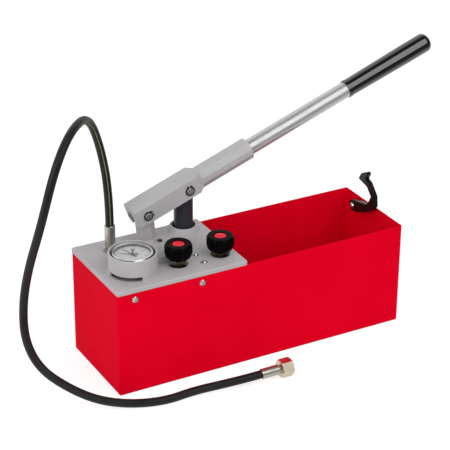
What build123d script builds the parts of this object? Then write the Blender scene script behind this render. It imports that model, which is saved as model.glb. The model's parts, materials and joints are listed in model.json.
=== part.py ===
from build123d import *
from math import acos, atan, atan2, cos, degrees, pi, radians, sin, sqrt, tan
import os

os.makedirs("parts", exist_ok=True)

# Hand-worked hydrostatic test pump on an open sheet-steel water tank.
# Millimetres, +Z up, origin at the middle of the tank's underside,
# +X from the pump head towards the handle latch, +Y to the back.

# Clearances shared by all pieces
overrun = 1.0
running_gap = 0.06
seat_gap = 0.05
loose_gap = 0.3
side_gap = 0.7

# Tank
tank_length = 480.0
tank_width = 158.0
tank_height = 164.0
tank_sheet = 1.5
tank_bend = 3.0

# Head plate
plate_thickness = 6.4
plate_overhang = 0.8
plate_corner = 4.0
plate_edge = 1.1
plate_margin = 24.7
lug_width = 18.0
lug_depth = 20.0
lug_thickness = 9.0
lug_round = 2.0
vent_radius = 2.9
vent_from_pivot = 20.8
vent_from_lever = 14.2
plug_head = 3.6
plug_head_height = 2.2
plug_edge = 0.5
plug_length = 5.0

# Places on the head plate, from the tank's left end, front and back
gauge_from_left = 48.1
gauge_from_front = 50.1
shutoff_from_left = 115.9
valve_spacing = 68.8
valve_from_front = 38.8
pivot_from_left = 104.5
pivot_height = 47.9
lever_from_back = 27.0
outlet_from_left = 47.1
outlet_from_back = 34.0

# Gauge cup on the head plate
cup_radius = 35.8
cup_wall = 2.5
cup_height = 32.0
cup_edge = 0.8
cup_foot = 3.0
cup_foot_height = 1.6
cup_slot_height = 6.6
cup_slot_lift = 0.6
cup_well = 4.0
cup_slot_start = 178.0
cup_slot_end = 267.5

# Raised pad between the gauge cup and the cylinder
pad_length = 60.0
pad_from_lever = 36.54
pad_height = 7.5
pad_round = 3.5

# Fulcrum post: its section at the pin, from the pin's axis, and its lean to the right
post_depth = 27.0
post_near_left = 11.9
post_near_right = 4.2
post_left = 17.6
post_right = 13.2
post_far_left = 9.0
post_far_right = 6.0
post_corner = 7.0
post_groove_width = 1.8
post_groove_depth = 2.2
post_lean = 5.6
post_shoulder = 25.0
post_shoulder_width = 20.0
post_flare = 3.0
post_flare_height = 5.0

# Pump cylinder: boss, barrel, foot and suction side
boss_height = 11.0
boss_radius = 20.9
boss_edge = 0.9
boss_waist = 24.5
boss_waist_height = 2.8
boss_base = 31.0
boss_mouth = 17.9
boss_lip = 5.0
barrel_bore = 17.6
barrel_wall = 2.4
barrel_floor = 50.0
foot_wall = 3.2
foot_grip = 9.0
foot_floor = 16.0
foot_passage = 4.0
foot_chamber = 7.5
foot_spigot = 9.0
foot_spigot_length = 8.0
foot_port = 3.0
foot_seat_share = 0.33
ball_radius = 5.5
strainer_radius = 14.0
strainer_wall = 1.0
strainer_lift = 6.0
strainer_slots = 10
strainer_slot_width = 3.0
strainer_slot_margin = 4.0

# Piston
rod_radius = 14.5
rod_bore = 9.0
rod_flat = 13.3
rod_flat_length = 28.0
rod_top = 10.5
rod_round = 9.0
head_length = 20.0
head_gap = 3.0
head_edge = 1.0
seal_height = 5.0
seal_depth = 3.6
spigot_length = 12.0

# Lever beam, along its own axis from the fulcrum pin
lever_rest = 20.2
lever_high = 33.0
pin_spacing = 73.4
beam_width = 38.0
beam_wall = 4.8
beam_roof = 3.5
beam_rise = 16.4
beam_drop = 12.8
beam_heel_top = 18.1
beam_heel_low = 21.7
beam_heel_cut = 5.0
beam_far_heel = 18.6
beam_far_drop = 20.6
beam_lug = 6.0
beam_shoulder = 90.5
beam_neck = 8.0
beam_arch_crown = 8.2
beam_edge = 1.4
channel_round = 8.0
socket_end = 189.1
socket_bore_depth = 80.0
socket_half_width = 15.5
socket_top = 14.2
socket_bottom = 13.6
socket_flat = 9.5
socket_side = 4.2

# Pins and their clips
pin_radius = 5.2
pin_proud = 2.6
pin_chamfer = 0.6
clip_outer = 7.4
clip_inner = 4.5
clip_thickness = 1.2
clip_offset = 0.3
clip_mouth = 2.4
clip_ear = 1.7
clip_ear_turn = 21.0
fulcrum_clip_turn = 8.5
piston_clip_turn = 77.8

# Handle
handle_radius = 12.5
handle_wall = 2.0
grip_past_hook = 163.35
grip_start_radius = 13.6
grip_end_radius = 15.0
grip_swell_share = 0.72
grip_dome = 9.0
grip_collar = 5.0
grip_collar_rise = 0.6
grip_end_wall = 7.0

# Handle latch on the inside of the right end wall
hook_reach = 60.0
hook_thickness = 7.5
hook_standoff = 5.5
hook_from_lever = 13.6
hook_from_rim = 12.0
hook_hub = 9.3
hook_corner = 2.0
hook_cavity_shares = (-0.527, 0.587)
hook_outline_shares = (
    (-0.03, 0.155),
    (-0.640, 0.302),
    (-0.745, 0.440),
    (-0.825, 0.600),
    (-0.620, 0.800),
    (-0.220, 0.880),
    (-0.345, 1.075),
    (-0.560, 1.180),
    (-0.615, 1.140),
    (-0.525, 0.965),
    (-0.675, 0.925),
    (-0.945, 0.650),
    (-0.985, 0.365),
    (-0.880, 0.210),
    (-0.510, 0.015),
    (-0.150, -0.135),
    (0.03, -0.06),
)
hook_screw_radius = 2.5
hook_screw_head = 5.0
hook_screw_head_height = 2.6
hook_nut_across = 8.0
hook_nut_height = 4.0

# Valves
valve_hole = 14.6
gland_hex = 19.0
gland_hex_height = 9.5
gland_thread = 8.0
gland_thread_length = 8.0
gland_recess = 14.0
gland_collar = 6.0
gland_collar_height = 2.0
spindle_radius = 3.3
spindle_tip = 5.0
spindle_point_share = 0.33
shutoff_lift = 10.2
release_lift = 7.0
knob_radius = 20.7
knob_height = 23.5
knob_lobes = 16
knob_valley_share = 0.92
knob_height_shares = (0, 0.14, 0.40, 1)
knob_radius_shares = (0.74, 0.90, 1, 0.985)
knob_rim = 18.2
knob_shoulder = 5.5
knob_shoulder_rise = 3.7
knob_recess = 10.0
knob_recess_depth = 2.6
knob_socket_depth = 13.0
cap_gap = 1.1
cap_dome = 1.0

# Valve block under the head plate
block_height = 28.0
block_half_width = 13.0
block_end_radius = 18.0
block_arm_radius = 13.0
block_edge = 1.0
passage_radius = 2.6
passage_share = 0.25
port_depth = 12.0
pipe_socket = 4.5

# Pipes in the tank
pipe_radius = 4.0
pipe_wall = 1.0
pipe_bend = 12.0
pipe_from_valves = 4.0
return_length = 24.0

# Gauge
gauge_radius = 28.4
gauge_wall = 1.2
gauge_lift = 2.8
gauge_depth = 27.0
bezel_radius = 29.9
bezel_height = 6.5
bezel_lip = 3.0
bezel_edge = 1.0
dial_thickness = 0.8
dial_drop = 6.0
glass_thickness = 1.2
stem_thread = 6.5
stem_hex = 14.0
stem_length = 12.0
pointer_length = 22.0
pointer_tail = 8.0
pointer_width = 1.6
pointer_thickness = 0.6
pointer_hub = 3.2
pointer_lift = 0.5
pointer_rest = 104.0
drag_rest = 152.0
drag_length = 19.0
drag_lift = 1.6
shaft_radius = 1.0
button_radius = 2.9
button_height = 2.4
button_neck = 1.5
button_lift = 4.0
button_edge = 0.6
bourdon_radius = 20.0
bourdon_width = 3.0
bourdon_thickness = 8.0
bourdon_sweep = 250.0

# Screws
screw_radius = 2.5
screw_head_radius = 5.0
screw_head_height = 2.4
screw_length = 12.0
screw_head_rim = 0.8
screw_crown = 3.4
screw_recess = 1.9
screw_cross = 1.5
screw_span = 5.8
block_screw_radius = 2.5
block_screw_length = 16.0
block_screw_spacing = 27.1
block_screw_offset = 0.9
block_screw_from_shutoff = 35.1
tank_screw_from_left = 27.0
tank_screw_spacing = 108.0
tank_screw_drop = 11.0

# Hose and its fittings
hose_radius = 6.25
outlet_thread = 6.0
outlet_hex = 19.0
outlet_hex_height = 6.0
outlet_neck = 6.6
ferrule_radius = 8.0
ferrule_length = 35.4
ferrule_wall = 1.5
ferrule_edge = 0.8
end_ferrule_radius = 7.7
end_ferrule_length = 28.6
neck_radius = 5.6
neck_length = 6.5
flange_radius = 8.6
flange_thickness = 3.0
nut_across = 25.0
nut_length = 18.0
nut_wall = 3.2
nut_thread = 9.32
nut_relief = 9.9
nut_relief_length = 6.8
nut_chamfer = 1.6
washer_inner = 4.5
washer_thickness = 1.6
floor_gap = 0.1
hose_rise = 54.7

# Points that the hose turns at, from the outlet to the union
hose_turns = (
    (-192.4, 70.0, 324.9),
    (-216.0, 58.0, 385.0),
    (-270.0, -4.0, 396.0),
    (-308.0, -33.0, 358.0),
    (-330.0, -26.0, 270.0),
    (-342.0, -4.0, 200.0),
    (-351.0, 2.0, 142.0),
    (-354.0, -6.0, 88.0),
    (-342.0, -27.0, 49.0),
    (-315.0, -58.0, 27.0),
    (-282.0, -91.0, 13.0),
    (-239.0, -114.0, 6.25),
    (-190.0, -129.0, 6.25),
    (-144.0, -124.0, 6.25),
    (-96.0, -132.0, 9.0),
)
hose_end_x = -39.6
hose_end_y = -139.0
hose_end_run = 24.0
hose_arc_share = 0.45

# Places that follow from the sizes above
left = -tank_length / 2
right = tank_length / 2
front = -tank_width / 2
back = tank_width / 2
plate_top = tank_height + plate_thickness
gauge_x = left + gauge_from_left
gauge_y = front + gauge_from_front
valve_y = front + valve_from_front
shutoff_x = left + shutoff_from_left
release_x = shutoff_x + valve_spacing
plate_left = left - plate_overhang
plate_right = release_x + plate_margin
lever_y = back - lever_from_back
pivot_x = left + pivot_from_left
pivot_z = plate_top + pivot_height
outlet_x = left + outlet_from_left
outlet_y = back - outlet_from_back
block_top = tank_height
block_bottom = tank_height - block_height
block_screw_x = shutoff_x + block_screw_from_shutoff
tank_screw_z = tank_height - tank_screw_drop

# Latch: where its cavity holds the handle tube, and how far it swings open
hook_x = right - tank_sheet - hook_standoff - hook_thickness / 2
hook_y = lever_y - hook_from_lever
hook_z = tank_height - hook_from_rim
hook_arm = hook_reach * sqrt(hook_cavity_shares[0] ** 2 + hook_cavity_shares[1] ** 2)
hook_open_angle = degrees(atan2(hook_cavity_shares[1], hook_cavity_shares[0]))
hook_shut_angle = degrees(acos(hook_from_lever / hook_arm))
hook_turn = hook_open_angle - hook_shut_angle
latched_z = hook_z + hook_arm * sin(radians(hook_shut_angle))

# Lever travel: lowest where the handle lies in the latch
lever_low = degrees(atan((latched_z - pivot_z) / (hook_x - pivot_x)))
grip_collar_radius = grip_start_radius + grip_collar_rise
grip_clearance = side_gap - grip_collar_radius * sin(radians(lever_low))
grip_start = (hook_x + hook_thickness / 2 - pivot_x) / cos(radians(lever_low)) + grip_clearance
grip_end = hook_x - pivot_x + grip_past_hook
lever_down = lever_low - lever_rest
lever_up = lever_high - lever_rest
post_crown = beam_rise - beam_roof - side_gap
swing_high = pin_spacing * cos(radians(lever_high))
swing_low = pin_spacing * cos(radians(lever_low))
piston_x = pivot_x + (swing_high + swing_low) / 2
pin_slip = abs(swing_low - swing_high) / 2
rise_down = pin_spacing * (sin(radians(lever_rest)) - sin(radians(lever_low)))
rise_up = pin_spacing * (sin(radians(lever_high)) - sin(radians(lever_rest)))
piston_rate = (rise_down + rise_up) / radians(lever_up - lever_down)
travel_down = piston_rate * radians(-lever_down)
travel_up = piston_rate * radians(lever_up)
pin_error = max(abs(rise_down - travel_down), abs(rise_up - travel_up))
pin_rest_z = pivot_z + pin_spacing * sin(radians(lever_rest))
slot_half_length = pin_radius + pin_slip + pin_error + loose_gap
slot_half_height = pin_radius + pin_error + loose_gap

# Cylinder stack
boss_top = plate_top + boss_height
barrel_outer = barrel_bore + barrel_wall
barrel_top = boss_top - boss_lip
barrel_bottom = barrel_floor
head_bottom = barrel_bottom + head_gap + travel_down
head_top = head_bottom + head_length
foot_radius = barrel_outer + seat_gap + foot_wall
foot_bottom = barrel_bottom - foot_floor
spigot_bottom = foot_bottom - foot_spigot_length
pipe_y = valve_y + pipe_from_valves

place_lever = Pos(pivot_x, lever_y, pivot_z) * Rot(0, -lever_rest, 0)
on_bottom = (Align.CENTER, Align.CENTER, Align.MIN)


def rod(radius, low, high, x=0.0, y=0.0):
    return Pos(x, y, low) * Cylinder(radius, high - low, align=on_bottom)


def tube(outer, inner, low, high, x=0.0, y=0.0):
    hole = rod(inner, low - overrun, high + overrun, x, y)
    return rod(outer, low, high, x, y) - hole


def slab(x0, x1, y0, y1, z0, z1):
    middle = Pos((x0 + x1) / 2, (y0 + y1) / 2, z0)
    return middle * Box(x1 - x0, y1 - y0, z1 - z0, align=on_bottom)


def hexagon(across, low, high, x=0.0, y=0.0):
    outline = RegularPolygon(across / 2, 6, major_radius=False)
    return Pos(x, y, low) * extrude(outline, high - low)


def along_y(shape):
    return Rot(-90, 0, 0) * shape


def along_x(shape):
    return Rot(0, 90, 0) * shape


def turned(points):
    outline = make_face(Polyline(*[(r, 0, z) for r, z in points], close=True))
    return revolve(outline, Axis.Z)


def side_outline(points, depth):
    outline = make_face(Polyline(*[(x, 0, z) for x, z in points], close=True))
    return extrude(outline, depth / 2, dir=(0, 1, 0), both=True)


# Tank with bent corners, open at the top
def make_tank():
    body = Box(tank_length, tank_width, tank_height, align=on_bottom)
    body = fillet(body.edges().filter_by(Axis.Z), tank_bend)
    body = fillet(body.faces().sort_by(Axis.Z)[0].edges(), tank_bend)
    inner_bend = tank_bend - tank_sheet
    room = Box(tank_length - 2 * tank_sheet, tank_width - 2 * tank_sheet, tank_height, align=on_bottom)
    room = fillet(room.edges().filter_by(Axis.Z), inner_bend)
    room = fillet(room.faces().sort_by(Axis.Z)[0].edges(), inner_bend)
    body -= Pos(0, 0, tank_sheet) * room
    for x in tank_screw_places():
        reach = tank_width / 2 + overrun
        body -= Pos(x, 0, tank_screw_z) * along_y(rod(screw_radius + seat_gap, -reach, reach))
    hole = rod(hook_screw_radius + seat_gap, right - tank_sheet - overrun, right + overrun)
    body -= Pos(0, hook_y, hook_z) * along_x(hole)
    return body


def tank_screw_places():
    first = left + tank_screw_from_left
    return (first, first + tank_screw_spacing)


# Head plate casting
def make_head_plate():
    depth = tank_width + 2 * plate_overhang
    length = plate_right - plate_left
    middle_x = (plate_left + plate_right) / 2
    body = Box(length, depth, plate_thickness, align=on_bottom)
    body = fillet(body.edges().filter_by(Axis.Z), plate_corner)
    body = chamfer(body.faces().sort_by(Axis.Z)[-1].edges(), plate_edge)
    body = Pos(middle_x, 0, tank_height) * body
    body += plate_lugs()
    body += raised_pad()
    body += gauge_cup()
    body += fulcrum_post()
    body += cylinder_boss()
    return body - plate_holes()


def plate_lugs():
    lugs = None
    lug = Box(lug_width, lug_thickness, lug_depth, align=(Align.CENTER, Align.MIN, Align.MAX))
    lug = fillet(lug.edges().filter_by(Axis.Z), lug_round)
    pilot = rod(screw_radius + seat_gap, -overrun, screw_length - tank_sheet + loose_gap)
    lug -= Pos(0, 0, -tank_screw_drop) * along_y(pilot)
    wall = tank_width / 2 - tank_sheet - loose_gap
    for x in tank_screw_places():
        near = Pos(x, -wall, tank_height) * lug
        far = Pos(x, wall, tank_height) * Rot(0, 0, 180) * lug
        lugs = near + far if lugs is None else lugs + near + far
    return lugs


def raised_pad():
    low = tank_height + plate_thickness / 2
    high = plate_top + pad_height
    x0 = gauge_x + cup_radius - cup_wall / 2
    y0 = valve_y + valve_hole + running_gap
    pad = slab(x0, x0 + pad_length, y0, lever_y - pad_from_lever, low, high)
    pad = fillet(pad.edges().filter_by(Axis.Z), pad_round)
    return fillet(pad.faces().sort_by(Axis.Z)[-1].edges(), pad_round)


def gauge_cup():
    low = tank_height + plate_thickness / 2
    top = plate_top + cup_height
    foot = cup_radius + cup_foot
    foot_top = plate_top + cup_foot_height
    inner = cup_radius - cup_wall
    profile = [
        (inner, low),
        (foot, low),
        (foot, foot_top - cup_foot_height / 2),
        (cup_radius, foot_top),
        (cup_radius, top - cup_edge),
        (cup_radius - cup_edge, top),
        (inner + cup_edge / 2, top),
        (inner, top - cup_edge / 2),
    ]
    cup = turned(profile)
    cup -= cup_slot()
    return Pos(gauge_x, gauge_y, 0) * cup


def well_floor():
    return plate_top - cup_well


def cup_slot():
    low = plate_top + cup_slot_lift
    outer = cup_radius + cup_foot + overrun
    inner = cup_radius - cup_wall - overrun
    outline = make_face(Polyline((inner, 0, low), (outer, 0, low), (outer, 0, low + cup_slot_height),
                                 (inner, 0, low + cup_slot_height), close=True))
    sweep_angle = cup_slot_end - cup_slot_start
    return Rot(0, 0, cup_slot_start) * revolve(outline, Axis.Z, sweep_angle)


def post_section(lean, grown):
    near = -post_depth / 2 - grown
    far = post_depth / 2 + grown
    groove = near + post_groove_depth
    points = [
        (-post_near_left - grown, near),
        (post_near_right, near),
        (post_near_right, groove),
        (post_near_right + post_groove_width, groove),
        (post_right + grown, near + post_corner),
        (post_right + grown, far - post_corner),
        (post_far_right, far),
        (-post_far_left - grown, far),
        (-post_left - grown, near + post_corner),
    ]
    return make_face(Polyline(*[(x + lean, y) for x, y in points], close=True))


def fulcrum_post():
    low = tank_height + plate_thickness / 2
    top = pivot_z + post_crown
    lean_rate = post_lean / (pivot_z - plate_top)
    lean_low = post_lean + lean_rate * (plate_top - low)
    lean_top = -lean_rate * post_crown
    sections = [Pos(0, 0, low) * post_section(lean_low, 0), Pos(0, 0, top) * post_section(lean_top, 0)]
    column = loft(sections, ruled=True)
    wide = post_shoulder_width
    flank = [
        (-wide, low),
        (wide + post_lean, low),
        (wide, pivot_z - post_shoulder),
        (post_crown, pivot_z),
        (-post_crown, pivot_z),
        (-wide, pivot_z - post_shoulder),
    ]
    crown = Pos(0, 0, pivot_z) * along_y(rod(post_crown, -post_depth, post_depth))
    column = column & (side_outline(flank, 2 * post_depth) + crown)
    foot = Pos(0, 0, plate_top) * post_section(post_lean, post_flare)
    neck_lean = post_lean - lean_rate * post_flare_height
    neck = Pos(0, 0, plate_top + post_flare_height) * post_section(neck_lean, 0)
    column += loft([foot, neck], ruled=True)
    bore = Pos(0, 0, pivot_z) * along_y(rod(pin_radius + running_gap, -post_depth, post_depth))
    return Pos(pivot_x, lever_y, 0) * (column - bore)


def cylinder_boss():
    low = tank_height + plate_thickness / 2
    boss = turned([
        (0, low),
        (boss_base, low),
        (boss_base, plate_top),
        (boss_waist, plate_top + boss_waist_height),
        (boss_radius, boss_top - boss_edge),
        (boss_radius - boss_edge, boss_top),
        (0, boss_top),
    ])
    boss = Pos(piston_x, lever_y, 0) * boss
    reach = piston_x + boss_base + overrun
    return boss & slab(plate_left, reach, -back, back + plate_overhang, low, boss_top)


def plate_holes():
    low = tank_height - overrun
    holes = rod(boss_mouth, low, boss_top + overrun, piston_x, lever_y)
    holes += rod(barrel_outer + seat_gap, low, barrel_top, piston_x, lever_y)
    for x in (shutoff_x, release_x):
        holes += rod(valve_hole, low, plate_top + pad_height + overrun, x, valve_y)
    holes += rod(cup_radius - cup_wall, well_floor(), plate_top + overrun, gauge_x, gauge_y)
    holes += rod(stem_thread + loose_gap, low, plate_top + overrun, gauge_x, gauge_y)
    holes += rod(outlet_thread + loose_gap, low, plate_top + overrun, outlet_x, outlet_y)
    for x, y in block_screw_places():
        holes += rod(block_screw_radius + seat_gap, low, plate_top + overrun, x, y)
    holes += rod(vent_radius, low, plate_top + overrun, *vent_place())
    return holes


def vent_place():
    return pivot_x + vent_from_pivot, lever_y - vent_from_lever


def block_screw_places():
    middle = valve_y + block_screw_offset
    return [(block_screw_x, middle + side * block_screw_spacing / 2) for side in (-1, 1)]


# Valve block that hangs under the head plate
def make_valve_block():
    outline = Pos((gauge_x + release_x) / 2, valve_y) * Rectangle(release_x - gauge_x, 2 * block_half_width)
    outline += Pos(gauge_x, valve_y) * Circle(block_half_width)
    for x in (shutoff_x, release_x):
        outline += Pos(x, valve_y) * Circle(block_end_radius)
    arm_length = outlet_y - valve_y
    outline += Pos(outlet_x, valve_y + arm_length / 2) * Rectangle(2 * block_arm_radius, arm_length)
    outline += Pos(outlet_x, outlet_y) * Circle(block_arm_radius)
    screw_pad = block_screw_spacing / 2 + block_screw_offset + 2 * block_screw_radius
    outline += Pos(block_screw_x, valve_y) * Rectangle(4 * block_screw_radius, 2 * screw_pad)
    body = Pos(0, 0, block_bottom) * extrude(outline, block_height)
    body = chamfer(body.faces().sort_by(Axis.Z)[0].edges(), block_edge)
    return body - block_holes()


def block_holes():
    high = block_top + overrun
    recess = block_top - gland_recess
    thread = recess - gland_thread_length - loose_gap
    holes = None
    for x in (shutoff_x, release_x):
        drilled = rod(valve_hole, recess, high, x, valve_y)
        drilled += rod(gland_thread + seat_gap, thread, recess + overrun, x, valve_y)
        holes = drilled if holes is None else holes + drilled
    holes += rod(passage_radius, block_bottom - overrun, thread + overrun, release_x, valve_y)
    holes += rod(stem_thread + seat_gap, block_top - stem_length, high, gauge_x, gauge_y)
    holes += rod(outlet_thread + seat_gap, block_top - port_depth, high, outlet_x, outlet_y)
    for x in (piston_x, release_x):
        pipe_high = block_bottom + pipe_socket
        holes += rod(pipe_radius + seat_gap, block_bottom - overrun, pipe_high, x, pipe_spot(x))
    for x, y in block_screw_places():
        holes += rod(block_screw_radius + seat_gap, high - block_screw_length, high, x, y)
    level = block_bottom + block_height * passage_share
    long_passage = along_x(rod(passage_radius, left + gauge_from_left, release_x))
    holes += Pos(0, valve_y, level) * long_passage
    arm_passage = along_y(rod(passage_radius, valve_y, outlet_y))
    holes += Pos(outlet_x, 0, level) * arm_passage
    holes += rod(passage_radius, level, block_top - port_depth + overrun, outlet_x, outlet_y)
    holes += rod(passage_radius, level, block_top - stem_length + overrun, gauge_x, gauge_y)
    return holes


def pipe_spot(x):
    return pipe_y if x == piston_x else valve_y


# Cylinder barrel, foot, ball and strainer
def make_barrel():
    return tube(barrel_outer, barrel_bore, barrel_bottom, barrel_top, piston_x, lever_y)


def make_foot():
    grip_top = barrel_bottom + foot_grip
    body = rod(foot_radius, foot_bottom, grip_top) + rod(foot_spigot, spigot_bottom, foot_bottom + overrun)
    body -= rod(barrel_outer + seat_gap, barrel_bottom, grip_top + overrun)
    body -= rod(foot_passage, spigot_bottom - overrun, barrel_bottom + overrun)
    body -= rod(foot_chamber, ball_seat_z(), barrel_bottom + overrun)
    side = along_y(rod(foot_port, -foot_radius - overrun, 0))
    socket = along_y(rod(pipe_radius + seat_gap, -foot_radius - overrun, -foot_radius + foot_wall))
    body -= Pos(0, 0, delivery_z()) * (side + socket)
    return Pos(piston_x, lever_y, 0) * body


def ball_seat_z():
    return foot_bottom + foot_floor * foot_seat_share


def delivery_z():
    return barrel_bottom - pipe_radius - pipe_wall


def ball_rest_z():
    return ball_seat_z() + sqrt(ball_radius ** 2 - foot_passage ** 2)


def make_suction_ball():
    return Pos(piston_x, lever_y, ball_rest_z()) * Sphere(ball_radius)


def make_strainer():
    top = foot_bottom
    outer = strainer_radius
    body = rod(outer, strainer_lift, top)
    body -= rod(outer - strainer_wall, strainer_lift + strainer_wall, top - strainer_wall)
    body -= rod(foot_spigot + seat_gap, strainer_lift + strainer_wall, top + overrun)
    slot = slab(0, outer + overrun, -strainer_slot_width / 2, strainer_slot_width / 2,
                strainer_lift + strainer_slot_margin, top - strainer_slot_margin)
    for index in range(strainer_slots):
        body -= Rot(0, 0, index * 360 / strainer_slots) * slot
    return Pos(piston_x, lever_y, 0) * body


def make_delivery_pipe():
    start = (piston_x, lever_y - foot_radius + foot_wall - seat_gap, delivery_z())
    corner = (piston_x, pipe_y, delivery_z())
    end = (piston_x, pipe_y, block_bottom + pipe_socket - seat_gap)
    path = FilletPolyline(start, corner, end, radius=pipe_bend)
    section = Circle(pipe_radius) - Circle(pipe_radius - pipe_wall)
    return sweep(Plane(start, z_dir=(0, -1, 0)) * section, path)


def make_return_pipe():
    high = block_bottom + pipe_socket - seat_gap
    return tube(pipe_radius, pipe_radius - pipe_wall, block_bottom - return_length, high, release_x, valve_y)


# Piston rod with its slotted eye, head and seal
def make_piston_rod():
    top = pin_rest_z + rod_top
    body = rod(rod_radius, head_top, top)
    flats_low = pin_rest_z - rod_flat_length
    keep = slab(-rod_radius - overrun, rod_radius + overrun, -rod_flat, rod_flat, flats_low, top + overrun)
    lower = rod(rod_radius + overrun, head_top - overrun, flats_low + overrun)
    body = body & (keep + lower)
    rounded = slab(-rod_radius, rod_radius, -rod_radius, rod_radius, head_top - overrun, top)
    rounded = fillet(rounded.edges().filter_by(Axis.Y).sort_by(Axis.Z)[-2:], rod_round)
    body = body & rounded
    slot = SlotOverall(2 * slot_half_length, 2 * slot_half_height)
    cut = extrude(Plane.XZ * slot, rod_radius + overrun, both=True)
    body -= Pos(0, 0, pin_rest_z) * cut
    body -= rod(rod_bore, head_top - overrun, flats_low - rod_bore)
    return Pos(piston_x, lever_y, 0) * body


def groove_low():
    return head_bottom + (head_length - seal_height) / 2


def make_piston_head():
    radius = barrel_bore - seat_gap - running_gap
    body = rod(radius, head_bottom, head_top)
    body = chamfer(body.edges().filter_by(GeomType.CIRCLE), head_edge)
    body += rod(rod_bore - seat_gap, head_top - overrun, head_top + spigot_length)
    low = groove_low()
    body -= tube(radius + overrun, barrel_bore - seal_depth, low, low + seal_height)
    return Pos(piston_x, lever_y, 0) * body


def make_piston_seal():
    low = groove_low() + seat_gap
    high = groove_low() + seal_height - seat_gap
    return tube(barrel_bore - running_gap, barrel_bore - seal_depth + seat_gap, low, high, piston_x, lever_y)


# Lever beam, in its own frame and then placed
def make_lever_beam():
    half = beam_width / 2
    near = heel_outline(beam_heel_low, beam_heel_low - beam_heel_cut, beam_drop, -half)
    far = heel_outline(beam_far_heel, beam_far_heel - beam_heel_cut / 2, beam_far_drop, half)
    body = loft([near, far], ruled=True)
    body = fillet(body.edges().filter_by(Axis.X).sort_by(Axis.Z)[-2:], beam_edge)
    body += beam_neck_piece()
    body += beam_socket()
    body -= beam_channel()
    body -= beam_arch()
    bore = rod(handle_radius + seat_gap, socket_end - socket_bore_depth, socket_end + overrun)
    body -= along_x(bore)
    for reach in (0, pin_spacing):
        body -= Pos(reach, 0, 0) * along_y(rod(pin_radius + seat_gap, -beam_width, beam_width))
    return place_lever * body


def heel_outline(heel, toe, drop, y):
    points = [
        (-beam_heel_top, beam_rise),
        (beam_shoulder, beam_rise),
        (beam_shoulder, -beam_drop),
        (-beam_lug, -beam_drop),
        (-toe, -drop),
        (-heel, -beam_drop + beam_heel_cut),
    ]
    return make_face(Polyline(*[(x, y, z) for x, z in points], close=True))


def across_outline(x, points):
    both = points + [(-y, z) for y, z in reversed(points)]
    return make_face(Polyline(*[(x, y, z) for y, z in both], close=True))


def socket_outline(x):
    points = [
        (socket_flat, socket_top),
        (socket_half_width, socket_side),
        (socket_half_width, -socket_side),
        (socket_flat, -socket_bottom),
    ]
    return across_outline(x, points)


def beam_neck_piece():
    half = beam_width / 2
    points = [
        (half - beam_edge, beam_rise),
        (half, beam_rise - beam_edge),
        (half, -beam_drop + beam_edge),
        (half - beam_edge, -beam_drop),
    ]
    sections = [across_outline(beam_shoulder, points), socket_outline(beam_shoulder + beam_neck)]
    return loft(sections, ruled=True)


def beam_socket():
    start = beam_shoulder + beam_neck
    return extrude(socket_outline(start), socket_end - start, dir=(1, 0, 0))


def channel_end():
    across = pin_slip + rod_radius - rod_round
    above = rod_top - rod_round + pin_error
    high = radians(lever_high)
    return pin_spacing + across * cos(high) + above * sin(high) + rod_round + side_gap


def beam_channel():
    half = beam_width / 2 - beam_wall
    roof = beam_rise - beam_roof
    start = -beam_heel_top + beam_roof
    channel = slab(start, channel_end(), -half, half, -beam_far_drop - overrun, roof)
    corners = channel.edges().filter_by(Axis.Z).sort_by(Axis.X)[-2:]
    return fillet(corners, channel_round)


def beam_arch():
    half = beam_width / 2 - beam_wall
    centre = beam_arch_crown - half
    low = -beam_far_drop - overrun
    arch = slab(-beam_heel_low - overrun, 0, -half, half, low, centre)
    crown = rod(half, -beam_heel_low - overrun, 0)
    return arch + Pos(0, 0, centre) * along_x(crown)


# Pins across the beam, each grooved for a clip at both ends
def make_pin(reach):
    half = beam_width / 2 + pin_proud
    body = rod(pin_radius, -half, half)
    body = chamfer(body.edges().filter_by(GeomType.CIRCLE), pin_chamfer)
    low = beam_width / 2 + clip_offset - seat_gap
    high = low + clip_thickness + 2 * seat_gap
    groove = tube(pin_radius + overrun, clip_inner - seat_gap, low, high)
    body -= groove
    body -= mirror(groove, Plane.XY)
    return place_lever * Pos(reach, 0, 0) * along_y(body)


def clip_outline():
    ring = Circle(clip_outer) - Circle(clip_inner)
    for side in (-1, 1):
        ring += Rot(0, 0, side * clip_ear_turn) * Pos(clip_outer, 0) * Circle(clip_ear)
    return ring - Pos(clip_outer, 0) * Rectangle(2 * clip_outer, clip_mouth)


def make_clips():
    low = beam_width / 2 + clip_offset
    clips = []
    for reach, turn in ((0, fulcrum_clip_turn), (pin_spacing, piston_clip_turn)):
        clip = Rot(0, 0, -turn) * Pos(0, 0, low) * extrude(clip_outline(), clip_thickness)
        for one in (clip, mirror(clip, Plane.XY)):
            clips.append(place_lever * Pos(reach, 0, 0) * along_y(one))
    return Compound(children=clips)


# Handle tube and grip
def make_handle_tube():
    start = socket_end - socket_bore_depth + loose_gap
    end = grip_end - grip_end_wall
    return place_lever * along_x(tube(handle_radius, handle_radius - handle_wall, start, end))


def make_grip():
    swell = grip_start + (grip_end - grip_start) * grip_swell_share
    neck = grip_start + grip_collar
    body = turned([
        (0, grip_start),
        (grip_collar_radius, grip_start),
        (grip_collar_radius, neck),
        (grip_start_radius, neck + grip_collar_rise),
        (grip_end_radius, swell),
        (grip_end_radius, grip_end),
        (0, grip_end),
    ])
    body = fillet(body.faces().sort_by(Axis.Z)[-1].edges(), grip_dome)
    body -= rod(handle_radius + seat_gap, grip_start - overrun, grip_end - grip_end_wall + seat_gap)
    return place_lever * along_x(body)


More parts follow.
